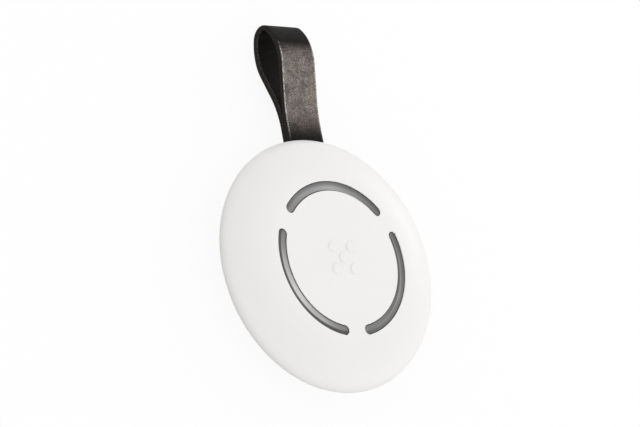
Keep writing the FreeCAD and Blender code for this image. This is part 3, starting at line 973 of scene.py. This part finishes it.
    def section(self, width: float) -> list[tuple[float, float, float]]:
        """Closed outline of the strip's section: flat faces with small round corners.

        Args:
            width: Width of the strip.

        Returns:
            Points as place across, offset from the middle and share of cut edge.
        """
        flat = width / 2 - self.corner
        thick = self.leather / 2 - self.corner
        outline = []
        for side in (1.0, -1.0):
            for count in range(self.face_points):
                share = count / (self.face_points - 1)
                outline.append((side * flat * (2 * share - 1), side * self.leather / 2, 0.0))
            for lift in (side, -side):
                for count in range(1, self.corner_points):
                    turn = math.pi / 2 * count / self.corner_points
                    turn = turn if lift == side else math.pi / 2 - turn
                    across = side * (flat + self.corner * math.sin(turn))
                    offset = lift * (thick + self.corner * math.cos(turn))
                    outline.append((across, offset, math.sin(turn) ** 2))
                if lift == side:
                    outline += [(side * width / 2, side * thick * share, 1.0) for share in self.edge_places]
        return outline

    def wear_and_sheen(self, spot: Vector, front: bool) -> float:
        """How rubbed the leather is, with the painted sheen that goes with it: most in the middle of the
        front, little elsewhere.

        Args:
            spot: Point of the middle line.
            front: Whether it lies before the crown.

        Returns:
            Share from 0 to 1.
        """
        def ramp(low: float, high: float) -> float:
            """Smooth step of the point's Y."""
            share = min(1.0, max(0.0, (spot.y - low) / (high - low)))
            return share * share * (3 - 2 * share)

        start = ramp(*self.wear_and_sheen_start)
        return start * (1 - ramp(*self.wear_and_sheen_end)) if front else start * self.rear_wear_and_sheen

    def place(self, spot: Vector, angle: float, across: float, offset: float, half: float) -> Vector:
        """Where one point of the section lands, with the leather's small unevenness.

        Args:
            spot: Point of the middle line.
            angle: Heading there.
            across: Place across the strip.
            offset: Offset from the middle.
            half: Half of the strip's width.

        Returns:
            The vertex.
        """
        outside = min(1.0, max(0.0, (spot.y - self.rim) / self.uneven_reach))
        spread = Vector((across, spot.y, spot.z)) * self.uneven_scale
        swell = 1.0 + outside * noise.noise(spread) * self.uneven_face
        side = noise.noise(spread * self.side_scale + Vector((self.side_shift, 0.0, 0.0)))
        shrink = 1.0 - outside * self.uneven_side * (1.0 + side)
        lean = min(1.0, max(0.0, (spot.y - self.rim) / self.skew_reach)) * self.skew * across / half
        return Vector((across * shrink, lean, 0.0)) + spot + self.heading(angle + 90) * offset * swell

    def build(self) -> None:
        """Sweep the section along the middle line."""
        low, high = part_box("strap")
        width = high.x - low.x
        line = self.middle_line()
        outline = self.section(width)
        verts, cuts, rub_and_sheen_shares, lengths, faces = [], [], [], [0.0], []
        farthest = max(range(len(line)), key=lambda number: line[number][0].y)
        for station, (spot, angle) in enumerate(line):
            if station:
                lengths.append(lengths[-1] + (spot - line[station - 1][0]).length)
            # Share of the rubbed colour with its painted sheen; the inner face gets little of it
            rub_and_sheen = self.wear_and_sheen(spot, station < farthest)
            for across, offset, cut in outline:
                verts.append(self.place(spot, angle, across, offset, width / 2))
                cuts.append(cut)
                rub_and_sheen_shares.append(rub_and_sheen if offset > 0 else self.inside_wear_and_sheen * rub_and_sheen)
        ring = len(outline)
        for station in range(len(line) - 1):
            for count in range(ring):
                after = (count + 1) % ring
                low_row, high_row = station * ring, (station + 1) * ring
                faces.append((low_row + count, high_row + count, high_row + after, low_row + after))
        faces.append(tuple(range(ring)))
        last = (len(line) - 1) * ring
        faces.append(tuple(last + count for count in reversed(range(ring))))
        mesh = bpy.data.meshes.new("strap_band")
        mesh.from_pydata([tuple(vert) for vert in verts], [], faces)
        mesh.validate()
        mesh.polygons.foreach_set("use_smooth", [True] * len(mesh.polygons))
        for name, values in (("cut_edge", cuts), ("wear_and_sheen", rub_and_sheen_shares)):
            mesh.attributes.new(name, "FLOAT", "POINT").data.foreach_set("value", values)
        layer = mesh.uv_layers.new(name="strip")
        for loop in mesh.loops:
            share = lengths[loop.vertex_index // ring] / lengths[-1]
            vert = mesh.vertices[loop.vertex_index].co
            layer.data[loop.index].uv = (share, (vert.x - low.x) / width)
        mesh.materials.append(self.finish.build(self.effects))
        band = bpy.data.objects.new("strap_band", mesh)
        bpy.context.scene.collection.objects.link(band)
        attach(band, Body.HOUSING.value)
        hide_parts("strap")
        log.info("built strap_band with %d faces", len(mesh.polygons))


@dataclass
class Studio:
    """Pale floor, soft light from all round with one lamp, and the camera."""

    floor_side: float = 4.0
    floor_colour: Colour = grey(0.40)
    # Share of the floor's look that is plain white to the camera, and how bright that white is
    floor_white: float = 0.80
    floor_glow: float = 1.14
    sky_base: float = 0.50
    sky_band: float = 0.60
    sky_lobes: tuple[tuple[float, float, float], ...] = (
        (0.50, 0.0, 0.0), (-0.40, 0.0, 0.0), (0.0, 0.35, 0.0), (0.0, -0.55, 0.0))
    key_place: Vector = field(default_factory=lambda: Vector((0.454, 0.175, 0.258)))
    key_side: float = 0.16
    key_power: float = 0.3
    camera_place: Vector = field(default_factory=lambda: Vector((-0.24703, -0.08751, 0.28741)))
    camera_right: Vector = field(default_factory=lambda: Vector((0.7686, -0.1788, 0.6142)))
    camera_up: Vector = field(default_factory=lambda: Vector((-0.0289, 0.9495, 0.3125)))
    lens: float = 94.5
    near: float = 0.01

    def floor(self) -> None:
        """Lay the floor; the camera sees it near white with the object's shadow."""
        half = self.floor_side / 2
        mesh = bpy.data.meshes.new("floor")
        outline = [(-half, -half, 0), (half, -half, 0), (half, half, 0), (-half, half, 0)]
        mesh.from_pydata(outline, [], [(0, 1, 2, 3)])
        material = bpy.data.materials.new("floor_white")
        material.use_nodes = True
        bench = Bench(material.node_tree)
        material.node_tree.nodes.clear()
        lit = bench.add("ShaderNodeBsdfDiffuse", color=self.floor_colour)
        white = bench.add("ShaderNodeEmission", color=grey(1.0), strength=self.floor_glow)
        # Only the camera and mirror rays see the white; to the light the floor stays a plain grey
        path = bench.add("ShaderNodeLightPath")
        seen = bench.maths("MAXIMUM", path.outputs["Is Camera Ray"], path.outputs["Is Glossy Ray"])
        share = bench.maths("MULTIPLY", seen, self.floor_white)
        mix = bench.add("ShaderNodeMixShader")
        bench.tree.links.new(share, mix.inputs[0])
        bench.tree.links.new(lit.outputs[0], mix.inputs[1])
        bench.tree.links.new(white.outputs[0], mix.inputs[2])
        output = bench.add("ShaderNodeOutputMaterial")
        bench.join(mix.outputs[0], output, "surface")
        mesh.materials.append(material)
        floor = bpy.data.objects.new("floor", mesh)
        bpy.context.scene.collection.objects.link(floor)

    def sky(self) -> None:
        """Light the scene from all round, with a brighter band low down and four soft lobes in it."""
        world = bpy.data.worlds.new("studio")
        world.use_nodes = True
        bench = Bench(world.node_tree)
        world.node_tree.nodes.clear()
        ray = bench.add("ShaderNodeTexCoord").outputs["Generated"]
        split = bench.add("ShaderNodeSeparateXYZ")
        bench.tree.links.new(ray, split.inputs[0])
        low = bench.maths("SUBTRACT", 1.0, bench.maths("MAXIMUM", split.outputs["Z"], 0.0))
        band = bench.maths("MULTIPLY", bench.maths("POWER", low, 2.0), self.sky_band)
        glow = bench.maths("ADD", band, self.sky_base)
        for lobe in self.sky_lobes:
            toward = bench.add("ShaderNodeVectorMath", {"operation": "DOT_PRODUCT"})
            bench.tree.links.new(ray, toward.inputs[0])
            toward.inputs[1].default_value = lobe
            glow = bench.maths("ADD", glow, bench.maths("MAXIMUM", toward.outputs["Value"], 0.0))
        light = bench.add("ShaderNodeBackground", color=grey(1.0))
        bench.join(glow, light, "strength")
        output = bench.add("ShaderNodeOutputWorld")
        bench.join(light.outputs[0], output, "surface")
        bpy.context.scene.world = world

    def lamp(self) -> None:
        """Hang one large soft lamp."""
        data = bpy.data.lights.new("key_lamp", "AREA")
        data.shape = "SQUARE"
        data.size = self.key_side
        data.energy = self.key_power
        lamp = bpy.data.objects.new("key_lamp", data)
        lamp.location = self.key_place
        lamp.rotation_euler = (-self.key_place).to_track_quat("-Z", "Y").to_euler()
        bpy.context.scene.collection.objects.link(lamp)

    def camera(self) -> None:
        """Stand the camera where the photograph was taken from."""
        data = bpy.data.cameras.new("camera")
        data.lens = self.lens
        data.clip_start = self.near
        camera = bpy.data.objects.new("camera", data)
        right = self.camera_right.normalized()
        back = right.cross(self.camera_up).normalized()
        up = back.cross(right)
        turn = Matrix((right, up, back)).transposed().to_4x4()
        camera.matrix_world = Matrix.Translation(self.camera_place) @ turn
        bpy.context.scene.collection.objects.link(camera)
        bpy.context.scene.camera = camera

    def build(self) -> None:
        """Set up the floor, the light and the camera."""
        self.floor()
        self.sky()
        self.lamp()
        self.camera()
        bpy.context.scene.view_settings.view_transform = "Standard"
        log.info("studio ready")


def main() -> None:
    """Build every sub-assembly and the studio."""
    logging.basicConfig(level=logging.INFO)
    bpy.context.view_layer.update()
    effects = Effects()
    for kind in (PressCover, RearShell, PowerPack, Electronics, LeatherStrap):
        kind(effects, frame).build()
    Studio().build()


if __name__ == "__main__":
    main()
